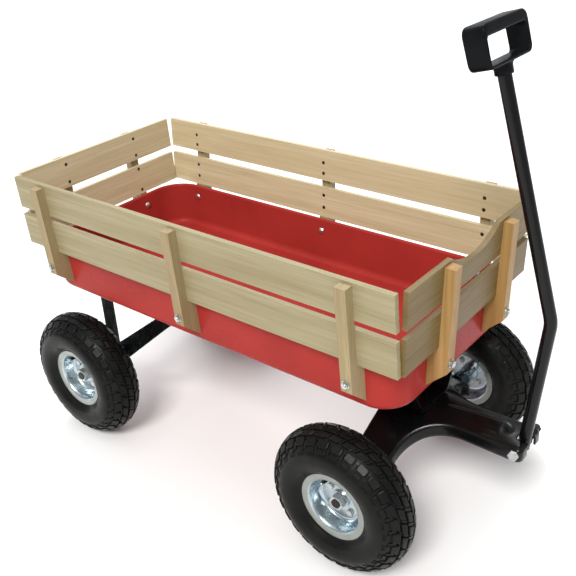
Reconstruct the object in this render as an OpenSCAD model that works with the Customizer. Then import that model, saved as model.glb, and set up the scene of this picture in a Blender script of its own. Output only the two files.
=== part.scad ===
// Four-wheeled pull wagon: pressed steel tray, slatted wooden racks, steel running gear.
// +X is forward, towards the handle, +Y is left and +Z is up. The wheels stand on z = 0,
// and the origin is below the middle of the whole wagon.

/* [Tray] */
// Length of the tray over its rolled rim
tray_length = 841; // [780:1:900]
// Width of the tray over its rolled rim
tray_width = 386; // [360:1:420]
// Depth of the tray from rim to floor
tray_depth = 93; // [85:1:105]
// Height of the rim above the ground
rim_top = 387; // [380:1:410]
// Corner radius of the tray wall at the rim
tray_corner = 60; // [45:1:75]
// Radius between floor and wall
floor_fillet = 14; // [8:1:20]
// Thickness of the pressed steel
tray_sheet = 1.5; // [1:0.1:2]
// Diameter of the rolled rim
rim_roll = 8; // [6:0.5:9]

/* [Racks] */
// Height of one slat
slat_height = 62.5; // [50:0.5:70]
// Gap between lower and upper slat
slat_gap = 15; // [10:0.5:20]
// Thickness of a slat
slat_thick = 9; // [7:0.5:11]
// Outward lean of walls and racks in degrees
lean = 3; // [1:0.5:4]
// Width of a post
post_width = 20; // [16:1:24]
// Depth of a post above its notch
post_depth = 17; // [12:0.5:20]
// Distance from the middle post to an end post on a long side
side_post_pitch = 348; // [320:1:360]
// Distance of the front panel's right post from the middle
front_post_right_y = 88; // [86:1:110]
// Distance of the front panel's left post from the middle
front_post_left_y = 97; // [86:1:110]
// Distance of the rear panel's posts from the middle
rear_post_y = 90; // [80:1:110]
// Depth of the hollow in the front panel's top edge
scoop_depth = 25.5; // [15:0.5:35]
// Width of that hollow
scoop_width = 150; // [130:1:150]

/* [Wheels] */
// Outer radius of a tyre
wheel_radius = 130; // [125:1:132]
// Width of a tyre
tyre_width = 85; // [80:1:90]
// Outer radius of a rim
rim_radius = 61.5; // [60:0.5:63]
// Distance between left and right wheel middles
track = 428; // [420:1:440]
// Distance between front and rear axles
wheelbase = 633; // [600:1:650]
// Distance from the middle of the tray forward to the front axle
front_axle_reach = 329; // [315:1:335]
// Radius of an axle
axle_r = 8; // [6:0.5:9]

/* [Steering fork] */
// Height of the fork's flat top
fork_top = 204; // [200:1:208]
// Distance from the king pin to the end of the tongue
tongue_reach = 219; // [205:1:230]
// Width of the tongue
tongue_width = 76; // [70:1:80]
// Length of a leg along the wagon
leg_length = 70; // [60:1:80]
// Sheet thickness of the fork
fork_sheet = 4; // [3:0.5:5]
// Depth of the fork's folded edge
fork_edge = 22; // [18:1:24]
// Radius of the king pin
king_r = 8; // [7:0.5:9]

/* [Handle] */
// Outer radius of the handle tube
tube_r = 10; // [9:0.5:11]
// Forward lean of the lower tube in degrees
lower_lean = 6.5; // [4:0.5:8]
// Length of the lower tube from pivot to bend
lower_length = 233; // [200:1:260]
// Backward lean of the upper tube in degrees
upper_lean = 14.9; // [10:0.1:18]
// Length of the upper tube from bend to grip
upper_length = 386; // [340:1:420]
// Width of the grip
grip_width = 125; // [115:1:135]
// Height of the grip
grip_height = 60; // [56:1:70]
// Depth of the grip
grip_depth = 34; // [28:1:40]

/* [Hidden] */
$fn = 64;

wood = "burlywood";
zinc = "silver";
black = [0.07, 0.07, 0.08];
red = [0.72, 0.12, 0.1];
slip = 0.05;   // clearance between touching parts and in running fits
gap = 0.3;     // clearance between parts that move past each other
far = 400;     // longer than any part that it cuts

// Racks stand just outside the rolled rim.
rim_to_slat = 2.4;
slat_base = rim_top + 1;
side_face = tray_width / 2 + rim_to_slat + slat_thick;
end_face = tray_length / 2 + rim_to_slat + slat_thick;
side_slat_length = 2 * end_face - 9;
end_slat_length = 2 * (side_face - slat_thick) - 3;
upper_slat = slat_height + slat_gap;
rack_height = 2 * slat_height + slat_gap;
post_top = rack_height - 4;
post_toe = -43;      // outer lower edge of a post, up the lean from the slats' base
bolt_height = -28;   // height of a post's bolt, up the lean from the slats' base
roll_clear = -11;    // a post's bearing face starts here, below the rolled rim

// The wall's outer face, at the middle height of the rolled rim.
roll_middle = rim_top - rim_roll / 2;
wall_half_x = tray_length / 2 - rim_roll + tray_sheet;
wall_half_y = tray_width / 2 - rim_roll + tray_sheet;
wall_gap = (side_face - wall_half_y - (slat_base - roll_middle) * tan(lean)) * cos(lean);
tray_bottom = rim_top - tray_depth;

// The wagon's middle lies between the rear posts' tops and the bend of the handle.
pivot_reach = 207;   // from the king pin forward to the handle's bolt
bend_reach = front_axle_reach + pivot_reach + lower_length * sin(lower_lean);
rear_reach = end_face + post_depth * cos(lean) + post_top * sin(lean);
rack_x = (rear_reach - bend_reach - tube_r) / 2;
front_x = rack_x + front_axle_reach;
rear_x = front_x - wheelbase;
pivot_x = front_x + pivot_reach;
pivot_z = 192;
pivot_r = 5;
sleeve_length = tongue_width - 18;

// Running gear, measured along the axles from the middle of the wagon.
hub_r = 16.5;
hub_inner = 161;
hub_outer = 222;
hub_bore = 14;
bearing_width = 11;
web = 2.2;           // sheet thickness of a rim
rim_half = 28.7;     // half width of a rim over its lips
seat_r = 52;         // radius of the tyre's seat on the rim
rim_bolt_circle = 26;
leg_end = 150;       // outer face of the fork's legs
bracket_face = 142;  // outer face of the rear brackets
bolster_foot = 206;  // underside of the bolster's pivot plate
bolster_studs = [[-32, -105], [-32, 105], [32, -105], [32, 105]];
bracket_tab_y = 124; // line of the rear brackets' studs
bracket_tab_x = [0, 205];

function side_posts() = [-side_post_pitch, 0, side_post_pitch];
function front_posts() = [-front_post_right_y, front_post_left_y];
function rear_posts() = [-rear_post_y, rear_post_y];

// Heights of the screws, up the lean from the slats' base.
side_screws = [20, 46, upper_slat + 14.5, upper_slat + 36.5];
end_screws = [8, 55.5, upper_slat + 10, upper_slat + 47];

// Puts a panel on its side of the tray: x runs along the panel, y = 0 is the slats'
// outer face, y grows inwards, and z runs up the lean from the slats' base.
module panel_place(turn, face) {
    translate([rack_x, 0, slat_base])
        rotate([0, 0, turn])
            translate([0, -face, 0])
                rotate([lean, 0, 0])
                    children();
}
module right_panel() { panel_place(0, side_face) children(); }
module front_panel() { panel_place(90, end_face) children(); }
module left_panel() { panel_place(180, side_face) children(); }
module rear_panel() { panel_place(270, end_face) children(); }

// A cylinder along a panel's own y axis, from y = a to y = b.
module panel_rod(x, z, r, a, b) {
    translate([x, a, z])
        rotate([-90, 0, 0])
            cylinder(h = b - a, r = r);
}

// Screws: two through each slat into each post, with countersunk heads on the inside.
module screw(x, z, extra = 0) {
    head = 3.5 + extra;
    shank = 1.8 + extra;
    panel_rod(x, z, shank, -9 - extra, slat_thick);
    translate([x, slat_thick - 2.2 - extra, z])
        rotate([-90, 0, 0])
            cylinder(h = 2.2 + extra, r1 = shank, r2 = head);
}
module screws(posts, heights, extra = 0) {
    for (x = posts, z = heights)
        screw(x, z, extra);
}

// Bolts: a domed head inside the tray, a shank through wall and post, a nut outside.
module post_bolt(x) {
    inside = wall_gap + tray_sheet + slip;
    panel_rod(x, bolt_height, 3, -post_depth - 6.5, inside + 0.5);
    translate([x, inside, bolt_height])
        rotate([-90, 0, 0])
            intersection() {
                translate([0, 0, -5])
                    sphere(r = 8.6);
                translate([0, 0, 2])
                    cube([20, 20, 4], center = true);
            }
}
module bolt_holes(posts) {
    for (x = posts)
        panel_rod(x, bolt_height, 3.2, -far / 4, far / 8);
}
module post_nut(x) {
    translate([x, -post_depth - slip, bolt_height])
        rotate([90, 0, 0])
            difference() {
                union() {
                    cylinder(h = 1.2, r = 7);
                    cylinder(h = 5.4, r = 5.8, $fn = 6);
                }
                translate([0, 0, -1])
                    cylinder(h = 8, r = 3 + slip);
            }
}

// Slats and posts, drawn in a panel's own axes.
module slat(length, z, posts, heights) {
    color(wood)
        difference() {
            translate([-length / 2, 0, z])
                cube([length, slat_thick, slat_height]);
            screws(posts, heights, 0.1);
        }
}
module scoop() {
    r = (pow(scoop_width / 2, 2) + pow(scoop_depth, 2)) / (2 * scoop_depth);
    panel_rod(0, rack_height - scoop_depth + r, r, -1, slat_thick + 1);
}
module post(x, heights) {
    bearing = wall_gap - slip;
    toe = post_toe - (bearing + post_depth);
    color(wood)
        difference() {
            translate([x - post_width / 2, 0, 0])
                rotate([90, 0, 90])
                    linear_extrude(post_width)
                        polygon([[-post_depth, post_top], [-slip, post_top], [-slip, -0.4],
                            [slat_thick + 1.5, -0.4], [slat_thick + 1.5, roll_clear],
                            [bearing, roll_clear], [bearing, toe], [-post_depth, post_toe]]);
            screws([x], heights, slip);
            bolt_holes([x]);
        }
}

// The tray's section, outwards from the corner axis and up from the floor.
module tray_profile() {
    wall_foot = tray_corner - (roll_middle - tray_bottom - floor_fillet) * tan(lean);
    wall_top = roll_middle - tray_bottom;
    square([wall_foot - floor_fillet, tray_sheet]);
    intersection() {
        translate([wall_foot - floor_fillet, floor_fillet])
            difference() {
                circle(r = floor_fillet);
                circle(r = floor_fillet - tray_sheet);
            }
        translate([wall_foot - floor_fillet, 0])
            square(floor_fillet);
    }
    polygon([[wall_foot - tray_sheet, floor_fillet], [wall_foot, floor_fillet],
        [tray_corner, wall_top], [tray_corner - tray_sheet, wall_top]]);
    translate([tray_corner - tray_sheet + rim_roll / 2, wall_top])
        difference() {
            circle(d = rim_roll);
            circle(d = rim_roll - 2 * tray_sheet);
        }
}
module tray_shell() {
    axis_x = wall_half_x - tray_corner;
    axis_y = wall_half_y - tray_corner;
    translate([rack_x, 0, tray_bottom]) {
        for (s = [0, 1], t = [0, 1])
            mirror([s, 0, 0])
                mirror([0, t, 0])
                    translate([axis_x, axis_y, 0])
                        rotate_extrude(angle = 90)
                            tray_profile();
        for (s = [0, 1]) {
            mirror([s, 0, 0])
                translate([axis_x, 0, 0])
                    rotate([90, 0, 0])
                        linear_extrude(2 * axis_y, center = true)
                            tray_profile();
            mirror([0, s, 0])
                translate([0, axis_y, 0])
                    rotate([90, 0, 90])
                        linear_extrude(2 * axis_x, center = true)
                            tray_profile();
        }
        translate([-axis_x, -axis_y, 0])
            cube([2 * axis_x, 2 * axis_y, tray_sheet]);
    }
}
module chassis_stud_places() {
    for (p = bolster_studs)
        translate([front_x + p[0], p[1], 0])
            children();
    for (x = bracket_tab_x, s = [-1, 1])
        translate([rear_x + x, s * bracket_tab_y, 0])
            children();
}
module tray() {
    color(red)
        difference() {
            tray_shell();
            right_panel() bolt_holes(side_posts());
            left_panel() bolt_holes(side_posts());
            front_panel() bolt_holes(front_posts());
            rear_panel() bolt_holes(rear_posts());
        }
}

module slat_screws() {
    color("dimgray") {
        right_panel() screws(side_posts(), side_screws);
        left_panel() screws(side_posts(), side_screws);
        front_panel() screws(front_posts(), end_screws);
        rear_panel() screws(rear_posts(), end_screws);
    }
}
module post_bolts() {
    color(zinc) {
        right_panel() for (x = side_posts()) post_bolt(x);
        left_panel() for (x = side_posts()) post_bolt(x);
        front_panel() for (x = front_posts()) post_bolt(x);
        rear_panel() for (x = rear_posts()) post_bolt(x);
    }
}
module post_nuts() {
    color(zinc) {
        right_panel() for (x = side_posts()) post_nut(x);
        left_panel() for (x = side_posts()) post_nut(x);
        front_panel() for (x = front_posts()) post_nut(x);
        rear_panel() for (x = rear_posts()) post_nut(x);
    }
}

// Front bolster: a pressed hat that hangs under the tray and carries the king pin.
module bolster_section() {
    top = tray_bottom - slip;
    t = 4;
    foot = bolster_foot;
    for (s = [0, 1])
        mirror([s, 0])
            polygon([[0, foot], [42, foot], [88, top - t], [122, top - t], [122, top],
                [86, top], [40, foot + t], [0, foot + t]]);
}
module front_bolster() {
    color(black)
        difference() {
            translate([front_x - 45, 0, 0])
                rotate([90, 0, 90])
                    linear_extrude(90)
                        bolster_section();
            translate([front_x, 0, bolster_foot - 1])
                cylinder(h = 6, r = king_r + slip);
            chassis_stud_places()
                translate([0, 0, tray_bottom - 6])
                    cylinder(h = 8, r = 4.2);
        }
}
// Studs, welded to the underside of the tray's floor.
module chassis_studs() {
    color(zinc)
        chassis_stud_places()
            translate([0, 0, tray_bottom - 13])
                cylinder(h = 13 - slip / 2, r = 4);
}
module chassis_nuts() {
    color(zinc)
        chassis_stud_places()
            translate([0, 0, tray_bottom - 4 - 2 * slip - 6])
                difference() {
                    cylinder(h = 6, r = 7.5, $fn = 6);
                    translate([0, 0, -1])
                        cylinder(h = 8, r = 4 + slip);
                }
}
module king_pin() {
    head = bolster_foot + 4 + slip;
    color(zinc) {
        translate([front_x, 0, head])
            cylinder(h = 9, r = 13, $fn = 6);
        translate([front_x, 0, 170])
            cylinder(h = head - 169, r = king_r);
    }
}
module king_nut() {
    color(zinc)
        translate([front_x, 0, 176])
            difference() {
                cylinder(h = 10, r = 13, $fn = 6);
                translate([0, 0, -1])
                    cylinder(h = 12, r = king_r + slip);
            }
}
module pivot_washers() {
    color(zinc)
        for (z = [fork_top + gap, 186 + slip])
            translate([front_x, 0, z])
                difference() {
                    cylinder(h = 1.4, r = 18);
                    translate([0, 0, -1])
                        cylinder(h = 4, r = king_r + slip);
                }
}

// Steering fork: a pressed saddle with a leg down to each wheel and a tongue ahead.
module fork_plan(inset) {
    half = tongue_width / 2;
    leg = leg_length / 2;
    bend = 80;
    translate([-leg + inset, -leg_end + inset])
        square([leg_length - 2 * inset, 2 * (leg_end - inset)]);
    translate([0, -half + inset])
        square([tongue_reach - 10, 2 * (half - inset)]);
    translate([tongue_reach - 11, -half + 10])
        square([11 - inset, 2 * half - 20]);
    for (s = [0, 1])
        mirror([0, s]) {
            translate([tongue_reach - 10, half - 10])
                circle(r = 10 - inset);
            difference() {
                translate([leg - inset - 1, half - inset - 1])
                    square(bend + inset + 1);
                translate([leg + bend, half + bend])
                    circle(r = bend + inset);
            }
        }
}
module fork_band(drop, depth) {
    z = fork_top - drop;
    foot = leg_end * 1.0;
    for (s = [0, 1])
        mirror([s, 0])
            polygon([[0, z], [45, z], [foot, z - 54], [foot, z - 54 - depth],
                [45, z - depth], [0, z - depth]]);
}
module fork_layer(inset, hole, depth) {
    intersection() {
        translate([front_x, 0, 0])
            linear_extrude(far)
                difference() {
                    fork_plan(inset);
                    if (hole > 0)
                        fork_plan(hole);
                }
        translate([front_x - 60, 0, 0])
            rotate([90, 0, 90])
                linear_extrude(60 + tongue_reach)
                    fork_band(0, depth);
    }
}
module fork_rib() {
    intersection() {
        translate([front_x + 66, 0, fork_top - 4]) {
            rotate([0, 90, 0])
                cylinder(h = 102, r1 = 5, r2 = 13);
            translate([102, 0, 0])
                sphere(r = 13);
        }
        translate([front_x, -20, fork_top - 1])
            cube([tongue_reach, 40, 20]);
    }
}
module fork() {
    color(black)
        difference() {
            union() {
                fork_layer(0, 0, fork_sheet);
                fork_layer(0, fork_sheet, fork_edge);
                fork_rib();
                for (s = [-1, 1])
                    translate([front_x - 22, s * (leg_end - fork_sheet / 2) - fork_sheet / 2, 112])
                        cube([44, fork_sheet, 24]);
                translate([front_x, 0, 188])
                    cylinder(h = 14, r = 15);
                for (s = [-1, 1])
                    translate([pivot_x, s * (sleeve_length / 2 + 3.5), pivot_z])
                        rotate([90, 0, 0])
                            cylinder(h = 6, r = 7.5, center = true);
            }
            translate([front_x, 0, 180])
                cylinder(h = 30, r = king_r + slip);
            translate([front_x, 0, wheel_radius])
                rotate([90, 0, 0])
                    cylinder(h = far, r = axle_r + slip, center = true);
            translate([pivot_x, 0, pivot_z])
                rotate([90, 0, 0])
                    cylinder(h = 100, r = pivot_r + slip, center = true);
            translate([pivot_x - tube_r + 0.5, -tube_r - 2.5, pivot_z - 25])
                cube([60, 2 * tube_r + 5, 60]);
        }
}

// Axles, with loose collars that hold the wheels off the fork and the brackets.
module axle(x, collar_start) {
    translate([x, 0, wheel_radius])
        rotate([90, 0, 0]) {
            cylinder(h = 2 * 234, r = axle_r, center = true);
            for (s = [-1, 1])
                translate([0, 0, s * (collar_start + hub_inner) / 2])
                    difference() {
                        cylinder(h = hub_inner - collar_start - gap, r = 12.5, center = true);
                        cylinder(h = hub_inner, r = axle_r + slip, center = true);
                    }
        }
}
module axle_nuts(x) {
    for (s = [-1, 1])
        translate([x, s * (hub_outer + 5.4), wheel_radius])
            rotate([90, 0, 0])
                difference() {
                    cylinder(h = 10, r = 13, center = true, $fn = 6);
                    cylinder(h = 12, r = axle_r + slip, center = true);
                }
}
module front_axle() { color(black) axle(front_x, leg_end); }
module rear_axle() { color(black) axle(rear_x, bracket_face); }
module front_axle_nuts() { color(zinc) axle_nuts(front_x); }
module rear_axle_nuts() { color(zinc) axle_nuts(rear_x); }

// Rear bracket: an upright and a forward brace from the axle to the tray's floor.
module bracket_outline() {
    top = tray_bottom - slip;
    rise = top - wheel_radius;
    circle(r = 22);
    translate([-16, 0])
        square([32, rise]);
    polygon([[-2, 22], [20, -10], [bracket_tab_x[1] + 16, rise], [bracket_tab_x[1] - 22, rise]]);
}
module rear_bracket(s) {
    top = tray_bottom - slip;
    color(black)
        difference() {
            union() {
                translate([rear_x, s * (bracket_face - 2.5) + 2.5, wheel_radius])
                    rotate([90, 0, 0])
                        linear_extrude(5)
                            bracket_outline();
                for (x = bracket_tab_x)
                    translate([rear_x + x, s * (bracket_face - 17.5), top - 2])
                        cube([36, 35, 4], center = true);
            }
            translate([rear_x, 0, wheel_radius])
                rotate([90, 0, 0])
                    cylinder(h = far, r = axle_r + slip, center = true);
            chassis_stud_places()
                translate([0, 0, tray_bottom - 6])
                    cylinder(h = 8, r = 4.2);
        }
}

// Handle: a bent tube with a cross sleeve on the fork's bolt, and a loop grip.
module handle_bolt() {
    side = tongue_width / 2 + slip;
    color(zinc)
        translate([pivot_x, 0, pivot_z])
            rotate([90, 0, 0]) {
                translate([0, 0, -side - 12])
                    cylinder(h = 2 * side + 12 + 0.5, r = pivot_r);
                translate([0, 0, side])
                    cylinder(h = 6, r = 8.5, $fn = 6);
            }
}
module handle_nut() {
    color(zinc)
        translate([pivot_x, tongue_width / 2 + slip, pivot_z])
            rotate([-90, 0, 0])
                difference() {
                    cylinder(h = 8, r = 8.5, $fn = 6);
                    translate([0, 0, -1])
                        cylinder(h = 10, r = pivot_r + slip);
                }
}
module tube_path(r, top) {
    rotate([0, lower_lean, 0]) {
        sphere(r = r);
        cylinder(h = lower_length, r = r);
        translate([0, 0, lower_length])
            sphere(r = r);
    }
    translate([lower_length * sin(lower_lean), 0, lower_length * cos(lower_lean)])
        rotate([0, -upper_lean, 0])
            cylinder(h = top, r = r);
}
module handle_tube() {
    color(black)
        translate([pivot_x, 0, pivot_z])
            difference() {
                union() {
                    difference() {
                        tube_path(tube_r, upper_length - slip);
                        tube_path(tube_r - 1.6, upper_length + 5);
                    }
                    rotate([90, 0, 0])
                        cylinder(h = sleeve_length, r = 7.4, center = true);
                }
                rotate([90, 0, 0])
                    cylinder(h = 100, r = pivot_r + slip, center = true);
            }
}
module round_rect(w, h, r) {
    translate([-w / 2 + r, -h / 2])
        square([w - 2 * r, h]);
    translate([-w / 2, -h / 2 + r])
        square([w, h - 2 * r]);
    for (x = [-1, 1], y = [-1, 1])
        translate([x * (w / 2 - r), y * (h / 2 - r)])
            circle(r = r);
}
module handle_grip() {
    wall = 5;
    bar = 17;
    color(black)
        translate([pivot_x, 0, pivot_z])
            translate([lower_length * sin(lower_lean), 0, lower_length * cos(lower_lean)])
                rotate([0, -upper_lean, 0])
                    translate([0, 0, upper_length]) {
                        rotate([90, 0, 90])
                            linear_extrude(grip_depth, center = true)
                                difference() {
                                    translate([0, grip_height / 2])
                                        round_rect(grip_width, grip_height, 9);
                                    translate([0, (wall + grip_height - bar) / 2])
                                        round_rect(grip_width - 2 * wall,
                                            grip_height - bar - wall, 5);
                                }
                        translate([0, 0, -16])
                            difference() {
                                cylinder(h = 17, r = 13.5);
                                translate([0, 0, -1])
                                    cylinder(h = 17, r = tube_r + slip);
                            }
                    }
}

// Wheels, drawn round the z axis with +z outboard and z = 0 in the tyre's middle.
module wheel_place(x, s) {
    translate([x, s * track / 2, wheel_radius])
        rotate([-90 * s, 0, 0])
            children();
}
module valve_place() {
    rotate([0, 0, 124])
        translate([40, 0, 6])
            children();
}
module tyre() {
    section = tyre_width / 2;
    middle = wheel_radius - section;
    color(black)
        valve_place()
            cylinder(h = 20, r = 4);
    color(black)
        rotate_extrude($fn = 96)
            difference() {
                union() {
                    translate([middle, 0])
                        circle(r = section);
                    for (s = [-1, 1])
                        translate([seat_r + slip, s * 21.7 - 4.7])
                            square([12, 9.4]);
                }
                translate([middle, 0])
                    circle(r = section - 8);
                translate([seat_r - 20, -17])
                    square([40, 34]);
                translate([0, -far / 2])
                    square([seat_r + slip, far]);
                for (s = [0, 1])
                    mirror([0, s])
                        translate([0, rim_half - web - slip])
                            square([rim_radius + 0.5, 30]);
            }
}
module rim() {
    outer = [[seat_r, rim_half - web], [seat_r, 22.5], [seat_r - 1.4, 21], [34.5, slip]];
    color(zinc)
        difference() {
            rotate_extrude($fn = 96)
                for (s = [0, 1])
                    mirror([0, s])
                        polygon(concat([[hub_r + slip, slip], [hub_r + slip, web], [33, web],
                            [seat_r - 2.7, 24], [seat_r - 2, rim_half],
                            [rim_radius, rim_half], [rim_radius, rim_half - web]], outer));
            rim_bolt_holes();
            valve_place()
                cylinder(h = 30, r = 4.2);
        }
}
module rim_bolt_places() {
    for (a = [45:90:315])
        rotate([0, 0, a])
            translate([rim_bolt_circle, 0, 0])
                children();
}
module rim_bolt_holes() {
    rim_bolt_places()
        cylinder(h = 30, r = 3.2, center = true);
}
module hub() {
    inner = track / 2 - hub_inner;
    outer = hub_outer - track / 2;
    color(zinc)
        difference() {
            union() {
                translate([0, 0, -inner])
                    cylinder(h = inner + outer, r = hub_r);
                translate([0, 0, web + slip])
                    cylinder(h = 2.5, r = 33);
            }
            translate([0, 0, -inner - 1])
                cylinder(h = inner + outer + 2, r = hub_bore);
            rim_bolt_holes();
        }
}
module bearings() {
    inner = track / 2 - hub_inner;
    outer = hub_outer - track / 2;
    color("gray")
        for (z = [-inner, outer - bearing_width])
            translate([0, 0, z])
                difference() {
                    cylinder(h = bearing_width, r = hub_bore - slip);
                    translate([0, 0, -1])
                        cylinder(h = bearing_width + 2, r = axle_r + slip);
                }
}
module rim_bolts() {
    top = web + 2.5 + 2 * slip;
    color(zinc)
        rim_bolt_places() {
            translate([0, 0, -9])
                cylinder(h = 9 + top + 0.5, r = 3);
            translate([0, 0, top])
                cylinder(h = 4, r = 5.8, $fn = 6);
            translate([0, 0, -web - slip - 5])
                difference() {
                    cylinder(h = 5, r = 5.8, $fn = 6);
                    translate([0, 0, -1])
                        cylinder(h = 7, r = 3 + slip);
                }
        }
}

tray();
right_panel() slat(side_slat_length, 0, side_posts(), side_screws);  // right_slat_lower
right_panel() slat(side_slat_length, upper_slat, side_posts(), side_screws);  // right_slat_upper
left_panel() slat(side_slat_length, 0, side_posts(), side_screws);  // left_slat_lower
left_panel() slat(side_slat_length, upper_slat, side_posts(), side_screws);  // left_slat_upper
front_panel() slat(end_slat_length, 0, front_posts(), end_screws);  // front_slat_lower
front_panel()  // front_slat_upper
        difference() {
            slat(end_slat_length, upper_slat, front_posts(), end_screws);
            scoop();
        }
rear_panel() slat(end_slat_length, 0, rear_posts(), end_screws);  // rear_slat_lower
rear_panel() slat(end_slat_length, upper_slat, rear_posts(), end_screws);  // rear_slat_upper
right_panel() post(-side_post_pitch, side_screws);  // right_post_rear
right_panel() post(0, side_screws);  // right_post_middle
right_panel() post(side_post_pitch, side_screws);  // right_post_front
left_panel() post(side_post_pitch, side_screws);  // left_post_rear
left_panel() post(0, side_screws);  // left_post_middle
left_panel() post(-side_post_pitch, side_screws);  // left_post_front
front_panel() post(-front_post_right_y, end_screws);  // front_post_right
front_panel() post(front_post_left_y, end_screws);  // front_post_left
rear_panel() post(rear_post_y, end_screws);  // rear_post_right
rear_panel() post(-rear_post_y, end_screws);  // rear_post_left
slat_screws();
post_bolts();
post_nuts();
front_bolster();
chassis_studs();
chassis_nuts();
king_pin();
king_nut();
pivot_washers();
rear_bracket(-1);  // rear_bracket_right
rear_bracket(1);  // rear_bracket_left
rear_axle();
rear_axle_nuts();
fork();
front_axle();
front_axle_nuts();
handle_bolt();
handle_nut();
handle_tube();
handle_grip();
for (axle = ["front", "rear"], side = ["right", "left"]) {
    x = axle == "front" ? front_x : rear_x;
    s = side == "right" ? -1 : 1;
    wheel = str(axle, "_", side);
    wheel_place(x, s) {
        tyre();
        rim();
        hub();
        bearings();
        rim_bolts();
    }
}
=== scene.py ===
"""Looks for the pull wagon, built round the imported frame.

Lengths in the helpers are millimetres; every mesh is scaled to metres when it is made.
"""

import math

import bmesh
import bpy
from mathutils import Matrix, Vector
from mathutils.geometry import delaunay_2d_cdt


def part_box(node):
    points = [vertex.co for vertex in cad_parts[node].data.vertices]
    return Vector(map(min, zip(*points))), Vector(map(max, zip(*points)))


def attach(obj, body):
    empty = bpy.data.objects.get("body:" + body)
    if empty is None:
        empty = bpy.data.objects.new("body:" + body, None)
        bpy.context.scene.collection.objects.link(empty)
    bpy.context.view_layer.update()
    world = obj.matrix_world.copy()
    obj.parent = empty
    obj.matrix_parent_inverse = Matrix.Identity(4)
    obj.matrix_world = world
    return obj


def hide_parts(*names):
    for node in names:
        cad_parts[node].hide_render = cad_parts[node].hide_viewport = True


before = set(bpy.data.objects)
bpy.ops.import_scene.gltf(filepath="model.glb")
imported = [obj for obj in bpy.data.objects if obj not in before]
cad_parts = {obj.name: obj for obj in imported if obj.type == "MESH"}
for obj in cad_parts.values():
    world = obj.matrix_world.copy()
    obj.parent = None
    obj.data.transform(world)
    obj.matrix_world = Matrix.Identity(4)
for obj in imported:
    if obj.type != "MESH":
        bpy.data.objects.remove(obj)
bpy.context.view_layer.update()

MM = 0.001
WHEELS = ("front_right", "front_left", "rear_right", "rear_left")


def centre(node):
    """The middle of a CAD part's box, in millimetres."""
    low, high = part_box(node)
    return (low + high) / 2 / MM


# Where the frame's parts are, in millimetres.
tray_mid = centre("tray")
front_axle = centre("front_axle")
rear_axle = centre("rear_axle")
bolt_mid = centre("handle_bolt")
bolt_mid.y = 0


# ---------------------------------------------------------------- helpers

def add_mesh(name, verts, faces, mat, body, smooth=True, weld=0.0):
    """A new piece from points in millimetres, riding on a body."""
    mesh = bpy.data.meshes.new(name)
    mesh.from_pydata([Vector(v) * MM for v in verts], [], faces)
    mesh.validate()
    bm = bmesh.new()
    bm.from_mesh(mesh)
    if weld:
        bmesh.ops.remove_doubles(bm, verts=bm.verts, dist=weld * MM)
    bmesh.ops.recalc_face_normals(bm, faces=bm.faces)
    for f in bm.faces:
        f.smooth = smooth
    bm.to_mesh(mesh)
    bm.free()
    obj = bpy.data.objects.new(name, mesh)
    bpy.context.scene.collection.objects.link(obj)
    mesh.materials.append(mat)
    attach(obj, body)
    return obj


def bevel(obj, width):
    """Softens a part's sharp edges by a width in millimetres."""
    mod = obj.modifiers.new("edges", "BEVEL")
    mod.width = width * MM
    mod.segments = 2
    mod.limit_method = "ANGLE"
    mod.angle_limit = math.radians(35)


def lathe(profile, steps, place):
    """Rings of (radius, height) points round z, joined up; place maps a point to its place."""
    verts, faces = [], []
    n = len(profile)
    for i in range(steps):
        a = 2 * math.pi * i / steps
        for r, z in profile:
            verts.append(place(Vector((r * math.cos(a), r * math.sin(a), z))))
    for i in range(steps):
        j = (i + 1) % steps
        for k in range(n - 1):
            faces.append((i * n + k, j * n + k, j * n + k + 1, i * n + k + 1))
    return verts, faces


def smoothstep(x, a, b):
    """Rises softly from 0 at a to 1 at b."""
    t = min(1.0, max(0.0, (x - a) / (b - a)))
    return t * t * (3 - 2 * t)


def wheel_place(wheel):
    """Maps a wheel's own point, z outboard, to the wagon."""
    axle = front_axle if wheel.startswith("front") else rear_axle
    side = 1 if wheel.endswith("left") else -1
    mid = centre("tyre_" + wheel)

    def place(p):
        return Vector((axle.x + p.x, mid.y + side * p.z, axle.z - side * p.y))

    return place


# ---------------------------------------------------------------- materials

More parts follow.
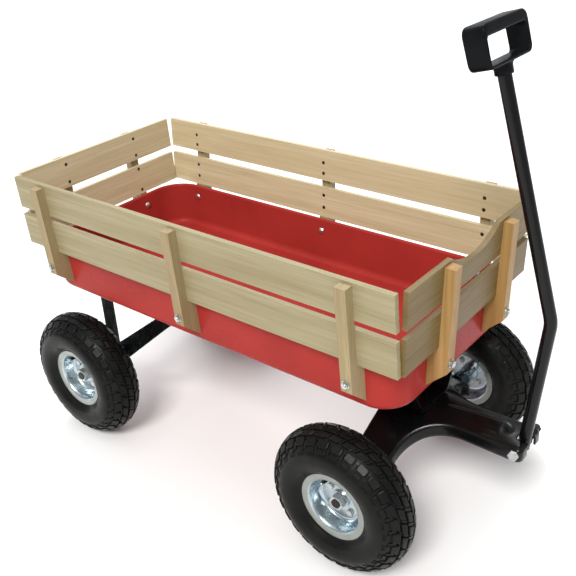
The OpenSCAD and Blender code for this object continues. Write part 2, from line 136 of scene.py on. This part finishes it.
class Shader:
    """A node material with a Principled shader and object coordinates."""

    def __init__(self, name):
        self.mat = bpy.data.materials.new(name)
        self.mat.use_nodes = True
        self.tree = self.mat.node_tree
        self.bsdf = self.tree.nodes["Principled BSDF"]
        self.coords = self.add("ShaderNodeTexCoord").outputs["Object"]

    def add(self, kind, **inputs):
        node = self.tree.nodes.new(kind)
        for key, value in inputs.items():
            node.inputs[key.replace("_", " ")].default_value = value
        return node

    def link(self, a, b):
        self.tree.links.new(a, b)

    def set(self, **inputs):
        for key, value in inputs.items():
            self.bsdf.inputs[key.replace("_", " ")].default_value = value

    def scaled(self, scale, shift=(0, 0, 0)):
        node = self.add("ShaderNodeMapping", Scale=scale, Location=shift)
        self.link(self.coords, node.inputs["Vector"])
        return node.outputs["Vector"]

    def noise(self, scale, detail=3.0, roughness=0.5, distortion=0.0, vector=None):
        node = self.add("ShaderNodeTexNoise", Scale=scale, Detail=detail,
                        Roughness=roughness, Distortion=distortion)
        self.link(vector or self.coords, node.inputs["Vector"])
        return node.outputs["Fac"]

    def ramp(self, fac, stops):
        node = self.add("ShaderNodeValToRGB")
        ramp = node.color_ramp
        while len(ramp.elements) < len(stops):
            ramp.elements.new(0.5)
        for element, (at, colour) in zip(ramp.elements, stops):
            element.position = at
            element.color = (*colour, 1)
        self.link(fac, node.inputs["Fac"])
        return node.outputs["Color"]

    def spread(self, fac, low, high, from_low=0.3, from_high=0.7):
        node = self.add("ShaderNodeMapRange")
        for key, value in (("From Min", from_low), ("From Max", from_high),
                           ("To Min", low), ("To Max", high)):
            node.inputs[key].default_value = value
        self.link(fac, node.inputs["Value"])
        return node.outputs["Result"]

    def mix(self, fac, a, b, blend="MIX"):
        node = self.add("ShaderNodeMix")
        node.data_type = "RGBA"
        node.blend_type = blend
        for socket, value in ((node.inputs[0], fac), (node.inputs[6], a), (node.inputs[7], b)):
            if isinstance(value, (int, float)):
                socket.default_value = value
            elif isinstance(value, tuple):
                socket.default_value = (*value, 1)
            else:
                self.link(value, socket)
        return node.outputs[2]

    def colour(self, socket):
        self.link(socket, self.bsdf.inputs["Base Color"])

    def rough(self, socket):
        self.link(socket, self.bsdf.inputs["Roughness"])

    def bump(self, height, strength, distance, before=None):
        node = self.add("ShaderNodeBump", Strength=strength, Distance=distance)
        self.link(height, node.inputs["Height"])
        if before:
            self.link(before, node.inputs["Normal"])
        self.link(node.outputs["Normal"], self.bsdf.inputs["Normal"])
        return node.outputs["Normal"]


def wood(name, along, seed, light, dark):
    """Varnished wood with its grain along x, y or z."""
    s = Shader(name)
    # Texture scales per metre, low along the grain so that the pattern is drawn out.
    stretch = [30.0, 30.0, 30.0]
    stretch["xyz".index(along)] = 1.6
    fine = [420.0, 420.0, 420.0]
    fine["xyz".index(along)] = 9.0
    shift = (seed * 3.7, seed * 1.9, seed * 5.3)
    broad = s.noise(1.0, 4.0, 0.55, 0.6, s.scaled(stretch, shift))
    fibre = s.noise(1.0, 3.0, 0.6, 0.2, s.scaled(fine, shift))
    patch = s.noise(1.0, 2.0, 0.5, 0.0, s.scaled([v * 0.22 for v in stretch], shift))
    rings = s.add("ShaderNodeTexWave", Scale=1.0, Distortion=5.0, Detail=3.0)
    rings.inputs["Detail Scale"].default_value = 1.2
    rings.wave_type = "BANDS"
    rings.bands_direction = "Z" if along != "z" else "X"
    s.link(s.scaled([v * 0.9 for v in stretch], shift), rings.inputs["Vector"])
    base = s.ramp(broad, [(0.3, dark), (0.5, tuple((a + b) / 2 for a, b in zip(light, dark))),
                          (0.68, light)])
    ringed = s.mix(s.spread(rings.outputs["Fac"], 0.0, 0.3, 0.0, 1.0), base, dark)
    streaked = s.mix(s.spread(fibre, 0.28, 0.0, 0.32, 0.55), ringed,
                     tuple(c * 0.55 for c in dark))
    stained = s.mix(s.spread(patch, 0.0, 0.35, 0.52, 0.72), streaked,
                    tuple(c * k for c, k in zip(dark, (0.95, 0.85, 0.75))))
    s.colour(stained)
    s.rough(s.spread(fibre, 0.54, 0.36))
    s.set(Specular_IOR_Level=0.25, Coat_Weight=0.06, Coat_Roughness=0.25)
    s.bump(fibre, 0.25, 0.0004)
    return s.mat


def enamel():
    """The tray's red paint."""
    s = Shader("red_enamel")
    s.colour(s.mix(s.spread(s.noise(7.0, 3.0), 0.0, 1.0), (0.36, 0.033, 0.027),
                   (0.29, 0.024, 0.020)))
    s.rough(s.spread(s.noise(24.0, 4.0), 0.24, 0.36))
    s.set(Coat_Weight=0.02, Coat_Roughness=0.1, Specular_IOR_Level=0.06)
    s.bump(s.noise(160.0, 2.0), 0.05, 0.0006)
    return s.mat


def powder_coat(name, tone, rough):
    """Near-black paint on steel."""
    s = Shader(name)
    s.colour(s.mix(s.spread(s.noise(18.0, 3.0), 0.0, 1.0), tuple(tone * k for k in (1, 1, 1.06)),
                   tuple(tone * k for k in (1.7, 1.7, 1.8))))
    s.rough(s.spread(s.noise(60.0, 4.0), rough - 0.05, rough + 0.1))
    s.set(IOR=1.3, Specular_IOR_Level=0.5, Coat_Weight=0.04, Coat_Roughness=0.05)
    s.bump(s.noise(700.0, 2.0), 0.04, 0.0003)
    return s.mat


def zinc(name, low, high, rough, scale, bump=0.06):
    """Bare or plated metal, mottled between two tones."""
    s = Shader(name)
    s.colour(s.mix(s.spread(s.noise(scale, 4.0), 0.0, 1.0), low, high))
    s.rough(s.spread(s.noise(scale * 2.2, 4.0), rough - 0.06, rough + 0.12))
    s.set(Metallic=1.0)
    s.bump(s.noise(scale * 6, 3.0), bump, 0.0004)
    return s.mat


def rubber():
    s = Shader("tyre_rubber")
    s.colour(s.mix(s.spread(s.noise(28.0, 5.0), 0.0, 1.0), (0.0032, 0.0034, 0.0034),
                   (0.0070, 0.0072, 0.0062)))
    s.rough(s.spread(s.noise(70.0, 4.0), 0.26, 0.42))
    s.set(Specular_IOR_Level=0.13)
    s.bump(s.noise(1100.0, 3.0), 0.2, 0.0003)
    return s.mat


def moulded_plastic():
    s = Shader("grip_plastic")
    s.colour(s.mix(s.spread(s.noise(30.0, 3.0), 0.0, 1.0), (0.005, 0.0055, 0.0065),
                   (0.008, 0.0085, 0.010)))
    s.rough(s.spread(s.noise(90.0, 4.0), 0.2, 0.32))
    s.set(Specular_IOR_Level=0.04)
    s.bump(s.noise(1500.0, 2.0), 0.1, 0.0002)
    return s.mat


RED = enamel()
BLACK = powder_coat("black_coat", 0.0026, 0.17)
BRACKET = powder_coat("bracket_coat", 0.0032, 0.26)
ZINC = zinc("zinc_plate", (0.62, 0.63, 0.62), (0.48, 0.49, 0.47), 0.3, 120.0)
RIM = zinc("rim_plate", (0.52, 0.60, 0.64), (0.42, 0.485, 0.52), 0.2, 26.0, 0.015)
# The rim's plating again, darker and greyer for the flange faces: painted shade.
SHADED_FLANGE = zinc("rim_flange_shaded", (0.36, 0.385, 0.36), (0.31, 0.33, 0.31), 0.3, 40.0, 0.015)
STEEL = zinc("bearing_steel", (0.55, 0.55, 0.55), (0.4, 0.4, 0.4), 0.3, 80.0)
SCREW = zinc("screw_steel", (0.12, 0.10, 0.09), (0.05, 0.045, 0.04), 0.45, 200.0)
RUBBER = rubber()
PLASTIC = moulded_plastic()

# Wood tones, each light then dark: slats of the far sides, the right side and the front, and
# posts of the sides and the front. The slats are one wood, toned per side by how lit each side
# is: painted light and shade, darkest on the front slats as painted shade.
PALE = ((0.62, 0.555, 0.365), (0.50, 0.415, 0.24))
SHADED_BUFF = ((0.34, 0.30, 0.18), (0.26, 0.21, 0.11))
TAN = ((0.38, 0.31, 0.175), (0.265, 0.195, 0.095))
SHADED_DUN = ((0.20, 0.145, 0.058), (0.145, 0.095, 0.032))
HONEY = ((0.43, 0.265, 0.10), (0.29, 0.16, 0.052))


# ---------------------------------------------------------------- carried-over parts

def paint(node, mat):
    """Gives a CAD part its material."""
    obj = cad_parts[node]
    for slot in obj.material_slots:
        slot.link = "OBJECT"
        slot.material = mat
    return obj


# Parts whose CAD shape another piece stands in for; they need no material.
STOOD_IN_FOR = ("tyre_", "rim_front", "rim_rear", "fork", "handle_tube", "handle_grip")

seed = 0     # each board gets its own grain
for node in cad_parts:
    side = node.split("_")[0]
    if node.startswith(STOOD_IN_FOR):
        continue
    if node == "tray":
        paint(node, RED)
    elif "_slat_" in node:
        seed += 1
        # The right side's and the front's slats take darker tones of the same wood: painted
        # shade.
        tone = {"right": SHADED_BUFF, "front": SHADED_DUN}.get(side, PALE)
        obj = paint(node, wood(node + "_wood", "x" if side in ("right", "left") else "y",
                               seed, *tone))
        bevel(obj, 0.9)
    elif "_post_" in node:
        seed += 1
        tone = HONEY if side == "front" else TAN
        obj = paint(node, wood(node + "_wood", "z", seed, *tone))
        bevel(obj, 1.0)
    elif node == "slat_screws":
        paint(node, SCREW)
    elif node == "handle_nut":
        paint(node, BLACK)
    elif node.startswith("hub_"):
        paint(node, RIM)
    elif node.startswith("bearings"):
        paint(node, STEEL)
    elif node in ("front_bolster", "rear_bracket_right", "rear_bracket_left"):
        bevel(paint(node, BRACKET), 0.8)
    elif node in ("rear_axle", "front_axle"):
        paint(node, BRACKET)
    else:
        paint(node, ZINC)


# ---------------------------------------------------------------- wheels

SECTION_R = 87.5     # radius of the middle of the tyre's round section
LUGS = 30            # tread blocks round the crown
FLANGE_R = 49        # distance from the axle to where a rim's flange starts
VALVE_R = 40         # distance of the valve from the axle
VALVE_TURN = math.radians(124)


def carcass(phi):
    """The tyre's section: distance from the section's middle at an angle from the crown."""
    a = abs(phi)
    sidewall = 3.0 * smoothstep(a, 48, 86) - 2.7 * smoothstep(a, 100, 134)
    bead_ridge = 0.8 * math.exp(-((a - 111) / 2.2) ** 2)
    shoulder_ridge = 0.5 * math.exp(-((a - 76) / 1.2) ** 2)
    return 38.2 + sidewall + bead_ridge + shoulder_ridge


def on_tyre(angle, phi, rho):
    """A wheel's own point from the angle round the wheel, and the section's polar place."""
    p = math.radians(phi)
    r = SECTION_R + rho * math.cos(p)
    a = math.radians(angle)
    return Vector((r * math.cos(a), r * math.sin(a), rho * math.sin(p)))


def lug_outline(w, h, r=0.28):
    """A tread block's outline: a rectangle of half sizes w and h with cut corners."""
    points = []
    for cx, cy, start in ((1, 1, 0), (-1, 1, 90), (-1, -1, 180), (1, -1, 270)):
        for k in range(3):
            a = math.radians(start + 45 * k)
            points.append((cx * (1 - r) * w + r * w * math.cos(a),
                           cy * (1 - r) * h + r * h * math.sin(a)))
    return points


def add_lug(verts, faces, place, angle, phi, w, h, height, skew=0.0):
    """One tread block; w and h are half sizes in degrees, round and across the tyre."""
    outline = lug_outline(w, h)
    start = len(verts)
    n = len(outline)
    for inset, lift in ((1.0, -1.5), (1.0, height - 1.0), (0.93, height - 0.25),
                        (0.82, height)):
        for u, v in outline:
            across = phi + v * inset
            around = angle + u * inset + skew * v
            verts.append(place(on_tyre(around, across, carcass(across) + lift)))
    for k in range(3):
        for i in range(n):
            j = (i + 1) % n
            faces.append((start + k * n + i, start + k * n + j,
                          start + (k + 1) * n + j, start + (k + 1) * n + i))
    faces.append(tuple(start + 3 * n + i for i in range(n)))


def tyre(wheel):
    """A smooth carcass, and one mesh with all of its tread blocks."""
    place = wheel_place(wheel)
    profile = [(53.0, 25.6), (57.5, 27.6), (60.2, 28.4)]
    for k in range(61):
        phi = 132 - 264 * k / 60
        rho = carcass(phi)
        profile.append((SECTION_R + rho * math.cos(math.radians(phi)),
                        rho * math.sin(math.radians(phi))))
    profile += [(r, -a) for r, a in reversed(profile[:3])]
    verts, faces = lathe(profile, 144, place)
    body = "wheel_" + wheel
    base = add_mesh("carcass_" + wheel, verts, faces, RUBBER, body)
    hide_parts("tyre_" + wheel)
    verts, faces = [], []
    pitch = 360 / LUGS
    for i in range(LUGS):
        a = i * pitch
        add_lug(verts, faces, place, a, 0, 0.34 * pitch, 7.5, 4.2, 0.16)
        add_lug(verts, faces, place, a + pitch / 2, 0, 0.10 * pitch, 9.5, 3.4, 0.16)
        for s in (-1, 1):
            add_lug(verts, faces, place, a + pitch / 2, s * 20, 0.36 * pitch, 7.0, 4.2, s * 0.18)
            add_lug(verts, faces, place, a, s * 17.5, 0.08 * pitch, 7.0, 3.2, s * 0.18)
            add_lug(verts, faces, place, a, s * 40, 0.37 * pitch, 9.0, 4.1)
            add_lug(verts, faces, place, a + pitch / 2, s * 48, 0.10 * pitch, 9.0, 2.4)
            add_lug(verts, faces, place, a, s * 57, 0.30 * pitch, 5.0, 2.0)
            for k in (-0.24, -0.08, 0.08, 0.24):
                add_lug(verts, faces, place, a + k * pitch, s * 68, 0.045 * pitch, 3.2, 0.8)
    add_mesh("tread_" + wheel, verts, faces, RUBBER, body, smooth=False)


def valve(wheel):
    """The inner tube's valve: a rubber-clad stem with a bright cap end."""
    place = wheel_place(wheel)
    at = Vector((VALVE_R * math.cos(VALVE_TURN), VALVE_R * math.sin(VALVE_TURN), 0))
    stem = [(0.1, 2.4), (5.2, 2.4), (5.0, 5), (4, 7), (4, 15), (3.2, 17), (3.2, 20.2),
            (2.6, 20.6), (0.1, 20.6)]
    cap = [(0.1, 20.4), (2.6, 20.4), (2.6, 24.8), (2.2, 25.6), (0.1, 26)]
    for name, profile, mat in (("valve_stem_", stem, RUBBER), ("valve_cap_", cap, ZINC)):
        verts, faces = lathe(profile, 20, lambda p: place(p + at))
        add_mesh(name + wheel, verts, faces, mat, "wheel_" + wheel, weld=0.3)


def rim(wheel):
    """Two pressed bowls back to back, each with a rolled flange that holds the bead."""
    place = wheel_place(wheel)
    bowl = [(17.0, 2.3), (36.5, 2.3), (38.6, 2.6), (40.4, 3.6), (41.8, 5.4), (42.8, 8.0),
            (45.9, 21.0), (46.6, 23.4), (47.9, 25.6), (49.8, 27.0), (52.0, 27.6), (56.0, 27.9),
            (58.5, 28.2), (60.3, 28.5), (61.2, 28.2), (61.5, 27.4), (61.1, 26.5), (59.8, 26.0),
            (54.0, 25.4), (52.4, 24.2), (52.0, 22.0), (51.0, 20.6), (45.5, 17.0), (42.0, 4.0),
            (34.0, 0.1), (17.0, 0.1)]
    verts, faces = lathe(bowl, 96, place)
    count = len(verts)
    back, back_faces = lathe([(r, -z) for r, z in bowl], 96, place)
    faces += [tuple(i + count for i in f) for f in back_faces]
    obj = add_mesh("rim_bowls_" + wheel, verts + back, faces, RIM, "wheel_" + wheel)
    # Faces out past the flange's start take the darker copy of the plating: painted shade.
    obj.data.materials.append(SHADED_FLANGE)
    hub = place(Vector((0, 0, 0))) * MM
    for face in obj.data.polygons:
        off = face.center - hub
        if math.hypot(off.x, off.z) > FLANGE_R * MM:
            face.material_index = 1
    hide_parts("rim_" + wheel)


for wheel in WHEELS:
    tyre(wheel)
    rim(wheel)
    valve(wheel)


# ---------------------------------------------------------------- steering fork

FORK_TOP = 204.0       # height of the flat top
FOLD = 8.0             # radius of the folded edge
FOLD_RINGS = (0.35, 1.2, 2.6, 4.4, 6.4)     # distances in from the edge
GRID = 3.4             # point spacing over the flat top
SHEET = 3.4
WALL = 22              # depth of the wall below the top
LEG_FOOT = 128         # height of the lower edge at a leg's corners
WALL_ROWS = 3
LEG_HALF = 35.0        # half length of a leg along the wagon
LEG_END = 150.0        # outer end of a leg, from the middle
LEG_CORNER = 8.0
SWEEP = 80.0           # radius between leg and tongue
TONGUE_HALF = 38.0     # half width of the tongue
TONGUE_REACH = 219.0   # from the king pin to the tongue's end
TONGUE_CORNER = 10.0
SLOT_HALF = 12.5       # half width of the slot that the handle stands in
SLOT_START = 197.5     # from the king pin to the slot
SLOT_CORNER = 6.0
RIB_START = 66.0       # from the king pin to the raised rib
RIB_LENGTH = 102.0


def fork_outline():
    """The pressing's outline from the king pin, anticlockwise, as (x, y, folded or not)."""
    points = []

    def arc(cx, cy, r, start, end, steps, folded=True):
        for k in range(steps + 1):
            a = math.radians(start + (end - start) * k / steps)
            points.append((cx + r * math.cos(a), cy + r * math.sin(a), folded))

    def line(x0, y0, x1, y1, steps, folded=True):
        for k in range(1, steps):
            t = k / steps
            points.append((x0 + (x1 - x0) * t, y0 + (y1 - y0) * t, folded))

    leg_x = LEG_HALF - LEG_CORNER
    leg_y = -(LEG_END - LEG_CORNER)
    sweep_x = LEG_HALF + SWEEP
    sweep_y = -(TONGUE_HALF + SWEEP)
    tongue_x = TONGUE_REACH - TONGUE_CORNER
    tongue_y = -(TONGUE_HALF - TONGUE_CORNER)
    slot_y = -(SLOT_HALF - SLOT_CORNER)
    arc(-leg_x, leg_y, LEG_CORNER, 180, 270, 6)
    line(-leg_x, -LEG_END, leg_x, -LEG_END, 14)
    arc(leg_x, leg_y, LEG_CORNER, 270, 360, 6)
    line(LEG_HALF, leg_y, LEG_HALF, sweep_y, 7)
    arc(sweep_x, sweep_y, SWEEP, 180, 90, 34)
    line(sweep_x, -TONGUE_HALF, tongue_x, -TONGUE_HALF, 26)
    arc(tongue_x, tongue_y, TONGUE_CORNER, 270, 360, 8)
    line(TONGUE_REACH, tongue_y, TONGUE_REACH, -SLOT_HALF - 0.5, 5)
    points.append((TONGUE_REACH, -SLOT_HALF, False))
    line(TONGUE_REACH, -SLOT_HALF, SLOT_START + SLOT_CORNER - 0.5, -SLOT_HALF, 5, False)
    arc(SLOT_START + SLOT_CORNER, slot_y, SLOT_CORNER, 270, 180, 5, False)
    line(SLOT_START, slot_y, SLOT_START, 0, 2, False)
    other_half = [(x, -y, folded) for x, y, folded in reversed(points)]
    points.append((SLOT_START, 0.0, False))
    points += other_half
    line(-LEG_HALF, -leg_y, -LEG_HALF, leg_y, 80)
    return points


def fork_height(x, y):
    """The pressing's top, without its folded edge."""
    # Flat in the middle, then falling 54 to the legs' ends after a soft start.
    slope = 10 * math.log(1 + math.exp(min(30, (abs(y) - 45) / 10)))
    z = FORK_TOP - 54 * slope / 105
    z += 1.5 * smoothstep(x, 60, 110) * (1 - smoothstep(x, 120, 200)) * (1 - (y / 60) ** 2)
    # The rib widens and rises towards the handle.
    along = min(RIB_START + RIB_LENGTH, max(RIB_START, x))
    share = (along - RIB_START) / RIB_LENGTH
    width = 4.5 + 9.0 * share
    off = math.hypot(x - along, y) / width
    if off < 1.5:
        z += (1.5 + 8.5 * share) * (1 - smoothstep(off, 0.25, 1.45))
    return z


def edge_distance(p, edges):
    """Distance from a point to the nearest edge, or 99 where none is near."""
    best = 99.0
    for a, b in edges:
        if abs(a.x - p.x) > 14 or abs(a.y - p.y) > 14:
            continue
        ab = b - a
        t = max(0.0, min(1.0, (p - a).dot(ab) / max(ab.length_squared, 1e-9)))
        best = min(best, (p - a - ab * t).length)
    return best


def is_inside(p, edges):
    """Whether a point is inside a closed outline."""
    inside = False
    for a, b in edges:
        if (a.y > p.y) != (b.y > p.y):
            if p.x < (b.x - a.x) * (p.y - a.y) / (b.y - a.y) + a.x:
                inside = not inside
    return inside


def fork_top(flat, folded):
    """Points and triangles of the top, and the point that each outline point became."""
    n = len(flat)
    edges = list(zip(flat, flat[1:] + flat[:1]))
    folds = [edge for i, edge in enumerate(edges) if folded[i] and folded[(i + 1) % n]]
    points = list(flat)
    for depth in FOLD_RINGS:
        for i in range(n):
            along = (flat[(i + 1) % n] - flat[i - 1]).normalized()
            p = flat[i] + Vector((-along.y, along.x)) * depth
            if folded[i] and is_inside(p, edges) and edge_distance(p, folds) > depth * 0.85:
                points.append(p)
    for i in range(int((TONGUE_REACH + 41) / GRID)):
        for j in range(int((2 * LEG_END + 4) / GRID)):
            p = Vector((-LEG_HALF - 1 + (i + 0.5 * (j % 2)) * GRID, -LEG_END - 1 + j * GRID))
            if is_inside(p, edges) and edge_distance(p, folds) > FOLD - 0.4:
                points.append(p)
    ends = [(i, (i + 1) % n) for i in range(n)]
    spanned, _, triangles, origins, _, _ = delaunay_2d_cdt(points, ends, [], 0, 1e-4)
    verts = []
    for p in spanned:
        z = fork_height(p.x, p.y)
        d = edge_distance(p, folds)
        if d < FOLD:
            z -= FOLD - math.sqrt(max(0.0, FOLD ** 2 - (FOLD - d) ** 2))
        verts.append((p.x, p.y, z))
    faces = [(a, b, c) for a, b, c in triangles
             if is_inside((spanned[a] + spanned[b] + spanned[c]) / 3, edges)]
    became = {old: new for new, olds in enumerate(origins) for old in olds}
    return verts, faces, [became[i] for i in range(n)]


def fork_piece():
    """The pressing with its folded walls, and the boss round the king pin."""
    outline = fork_outline()
    n = len(outline)
    flat = [Vector((x, y)) for x, y, _ in outline]
    folded = [fold for _, _, fold in outline]
    verts, faces, rim_row = fork_top(flat, folded)
    rows = [rim_row]
    for r in range(1, WALL_ROWS + 1):
        row = []
        for i, (x, y) in enumerate(flat):
            top = verts[rim_row[i]][2]
            bottom = fork_height(x, y) - WALL
            if abs(y) > LEG_END - 9:     # the end wall reaches down past the axle
                bottom = min(bottom, LEG_FOOT - 16 * (1 - smoothstep(abs(x), 18, 30)))
            row.append(len(verts))
            verts.append((x, y, top + (bottom - top) * r / WALL_ROWS))
        rows.append(row)
    for i in range(n):
        j = (i + 1) % n
        if folded[i] and folded[j]:
            for above, below in zip(rows, rows[1:]):
                faces.append((above[i], above[j], below[j], below[i]))
    king = Vector((front_axle.x, 0, 0))
    used = sorted({k for f in faces for k in f})
    remap = {old: new for new, old in enumerate(used)}
    obj = add_mesh("fork_pressing", [Vector(verts[k]) + king for k in used],
                   [tuple(remap[k] for k in f) for f in faces],
                   BLACK, "steering")
    # Wall thickness inwards, so the outside stays where it is.
    mod = obj.modifiers.new("sheet", "SOLIDIFY")
    mod.thickness = SHEET * MM
    mod.offset = -1
    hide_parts("fork")
    boss = [(8.1, 200), (8.1, 188), (13.6, 188), (15, 189.4), (15, 201)]
    verts, faces = lathe(boss, 40, lambda p: p + king)
    add_mesh("fork_boss", verts, faces, BLACK, "steering")


fork_piece()


# ---------------------------------------------------------------- handle

LOWER_LEAN, LOWER_LENGTH = math.radians(6.5), 233.0
UPPER_LEAN, UPPER_LENGTH = math.radians(14.9), 386.0
TUBE_R = 10
BEND_CUT = 11.0     # the bend's curve starts this far on each side of its corner
ACROSS = Vector((0, 1, 0))

low = Vector((math.sin(LOWER_LEAN), 0, math.cos(LOWER_LEAN)))
up = Vector((-math.sin(UPPER_LEAN), 0, math.cos(UPPER_LEAN)))
bend = bolt_mid + low * LOWER_LENGTH
grip_foot = bend + up * UPPER_LENGTH


def handle_piece():
    """The bent tube with a domed plug in its lower end, and the sleeve round its bolt."""
    path = [bolt_mid - low * 9, bolt_mid, bolt_mid + low * 60, bend - low * 60]
    for k in range(11):
        t = k / 10
        a, b = bend - low * BEND_CUT, bend + up * BEND_CUT
        path.append(a * (1 - t) ** 2 + bend * 2 * t * (1 - t) + b * t * t)
    path += [bend + up * 60, bend + up * 200, grip_foot - up * 2]
    verts, faces = [], []
    steps = 32
    for i, p in enumerate(path):
        t = (path[min(i + 1, len(path) - 1)] - path[max(i - 1, 0)]).normalized()
        fore = ACROSS.cross(t).normalized()
        for k in range(steps):
            a = 2 * math.pi * k / steps
            verts.append(p + ACROSS * TUBE_R * math.cos(a) + fore * TUBE_R * math.sin(a))
    for i in range(len(path) - 1):
        for k in range(steps):
            j = (k + 1) % steps
            faces.append((i * steps + k, i * steps + j, (i + 1) * steps + j,
                          (i + 1) * steps + k))
    # The plug: the end ring shrinks as it drops.
    last = list(range(steps))
    for shrink, drop in ((0.93, 0.4), (0.75, 0.76), (0.45, 1.0), (0.02, 1.12)):
        ring = []
        for k in range(steps):
            ring.append(len(verts))
            verts.append(path[0] + (verts[k] - path[0]) * shrink - low * drop)
        for k in range(steps):
            j = (k + 1) % steps
            faces.append((last[j], last[k], ring[k], ring[j]))
        last = ring
    faces.append(tuple(last))
    tube = add_mesh("handle_bar", verts, faces, BLACK, "handle")
    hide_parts("handle_tube")
    sleeve = [(5.1, -29), (6.8, -29), (7.4, -28.4), (7.4, -14), (8.4, -11.5), (9.2, -9.5),
              (9.2, 9.5), (8.4, 11.5), (7.4, 14), (7.4, 28.4), (6.8, 29), (5.1, 29)]
    verts, faces = lathe(sleeve, 32, lambda p: bolt_mid + Vector((p.x, p.z, p.y)))
    add_mesh("handle_sleeve", verts, faces, BLACK, "handle")


GRIP_WIDTH, GRIP_HEIGHT, GRIP_DEPTH = 125, 60, 34
OPENING_WIDTH, OPENING_HEIGHT = 115, 38
OPENING_DROP = 6     # the opening's middle is this far below the loop's middle
GRIP_EDGE = 3.2      # radius of the loop's softened edges


def rounded(w, h, r, drop=0):
    """A rounded rectangle's points round the origin, or lowered by a drop."""
    out = []
    for cx, cy, start in ((1, 1, 0), (-1, 1, 90), (-1, -1, 180), (1, -1, 270)):
        for k in range(8):
            a = math.radians(start + 90 * k / 7)
            out.append((cx * (w / 2 - r) + r * math.cos(a),
                        cy * (h / 2 - r) + r * math.sin(a) - drop))
    return out


def grip_piece():
    """The loop, as rings of points round its section, and the collar where the tube enters."""
    fore = -up.cross(ACROSS)
    outer = rounded(GRIP_WIDTH, GRIP_HEIGHT, 11)
    inner = rounded(OPENING_WIDTH, OPENING_HEIGHT, 7, OPENING_DROP)
    verts, faces, rings = [], [], []

    def ring(points, towards, depth, pull):
        row = []
        for (x, y), (tx, ty) in zip(points, towards):
            d = Vector((tx - x, ty - y)).normalized() * pull
            row.append(len(verts))
            verts.append(grip_foot + ACROSS * (x + d.x) + up * (GRIP_HEIGHT / 2 + y + d.y)
                         + fore * depth)
        rings.append(row)

    turns = [math.radians(a) for a in (0, 30, 60, 90)]
    arc = [(GRIP_EDGE * (1 - math.cos(a)), GRIP_EDGE * (1 - math.sin(a))) for a in turns]
    half = GRIP_DEPTH / 2
    for pull, back in arc:
        ring(outer, inner, half - back, pull)
    for pull, back in reversed(arc):
        ring(inner, outer, half - back, pull)
    for pull, back in arc:
        ring(inner, outer, back - half, pull)
    for pull, back in reversed(arc):
        ring(outer, inner, back - half, pull)
    n = len(outer)
    for a, b in zip(rings, rings[1:] + rings[:1]):
        for i in range(n):
            j = (i + 1) % n
            faces.append((a[i], a[j], b[j], b[i]))
    loop = add_mesh("grip_loop", verts, faces, PLASTIC, "handle", weld=0.02)
    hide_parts("handle_grip")
    axes = Matrix((fore, ACROSS, up)).transposed()
    collar = [(10.1, -16), (12.6, -16), (13.5, -15), (13.5, -6), (14.6, -1.5), (17, 1.0)]
    verts, faces = lathe(collar, 36, lambda p: grip_foot + axes @ p)
    add_mesh("grip_collar", verts, faces, PLASTIC, "handle")


handle_piece()
grip_piece()


# ---------------------------------------------------------------- camera, floor and light

def camera():
    """A camera that sees the wagon from its front right, above and a little tilted."""
    yaw, pitch, roll = (math.radians(v) for v in (39.95, 26.39, -3.52))
    ahead = Vector((-math.sin(yaw) * math.cos(pitch), math.cos(yaw) * math.cos(pitch),
                    -math.sin(pitch)))
    right = Vector((math.cos(yaw), math.sin(yaw), 0))
    above = right.cross(ahead)
    c, s = math.cos(roll), math.sin(roll)
    right, above = c * right + s * above, c * above - s * right
    data = bpy.data.cameras.new("camera")
    data.sensor_width = 36
    data.lens = 53.08
    data.shift_x = -0.0131
    data.shift_y = -0.0594
    obj = bpy.data.objects.new("camera", data)
    bpy.context.scene.collection.objects.link(obj)
    turn = Matrix((right, above, -ahead)).transposed().to_4x4()
    place = Vector((960.2 + tray_mid.x, -1047.2, 1087.4)) * MM
    obj.matrix_world = Matrix.Translation(place) @ turn
    bpy.context.scene.camera = obj


def area_light(name, place, target, size, power, colour=(1, 1, 1)):
    """A rectangular light in metres and watts, turned to a target."""
    data = bpy.data.lights.new(name, "AREA")
    data.shape = "RECTANGLE"
    data.size, data.size_y = size
    data.energy = power
    data.color = colour
    obj = bpy.data.objects.new(name, data)
    bpy.context.scene.collection.objects.link(obj)
    obj.location = place
    obj.rotation_euler = (Vector(target) - Vector(place)).to_track_quat("-Z", "Y").to_euler()


def studio():
    """A white floor, an even sky and three soft lights."""
    mesh = bpy.data.meshes.new("floor")
    half = 14.0
    mesh.from_pydata([(-half, -half, 0), (half, -half, 0), (half, half, 0), (-half, half, 0)],
                     [], [(0, 1, 2, 3)])
    floor = bpy.data.objects.new("floor", mesh)
    bpy.context.scene.collection.objects.link(floor)
    s = Shader("floor_paper")
    s.colour(s.mix(s.spread(s.noise(0.6, 2.0), 0.0, 1.0), (0.90, 0.90, 0.895),
                   (0.88, 0.88, 0.875)))
    s.set(Roughness=0.9, Specular_IOR_Level=0.1)
    mesh.materials.append(s.mat)
    world = bpy.data.worlds.new("studio")
    world.use_nodes = True
    world.node_tree.nodes["Background"].inputs["Color"].default_value = (0.95, 0.97, 1.0, 1)
    world.node_tree.nodes["Background"].inputs["Strength"].default_value = 0.55
    bpy.context.scene.world = world
    bpy.context.scene.view_settings.view_transform = "Standard"
    area_light("key", (2.2, -5.4, 6.4), (0, 0, 0.3), (3.0, 2.5), 640, (1, 0.98, 0.95))
    area_light("top", (-0.3, 0.2, 3.6), (0, 0, 0.3), (5, 5), 60)
    area_light("back", (-3.5, 3.5, 5.0), (-3.5, 4.0, 0), (5, 5), 330)


camera()
studio()
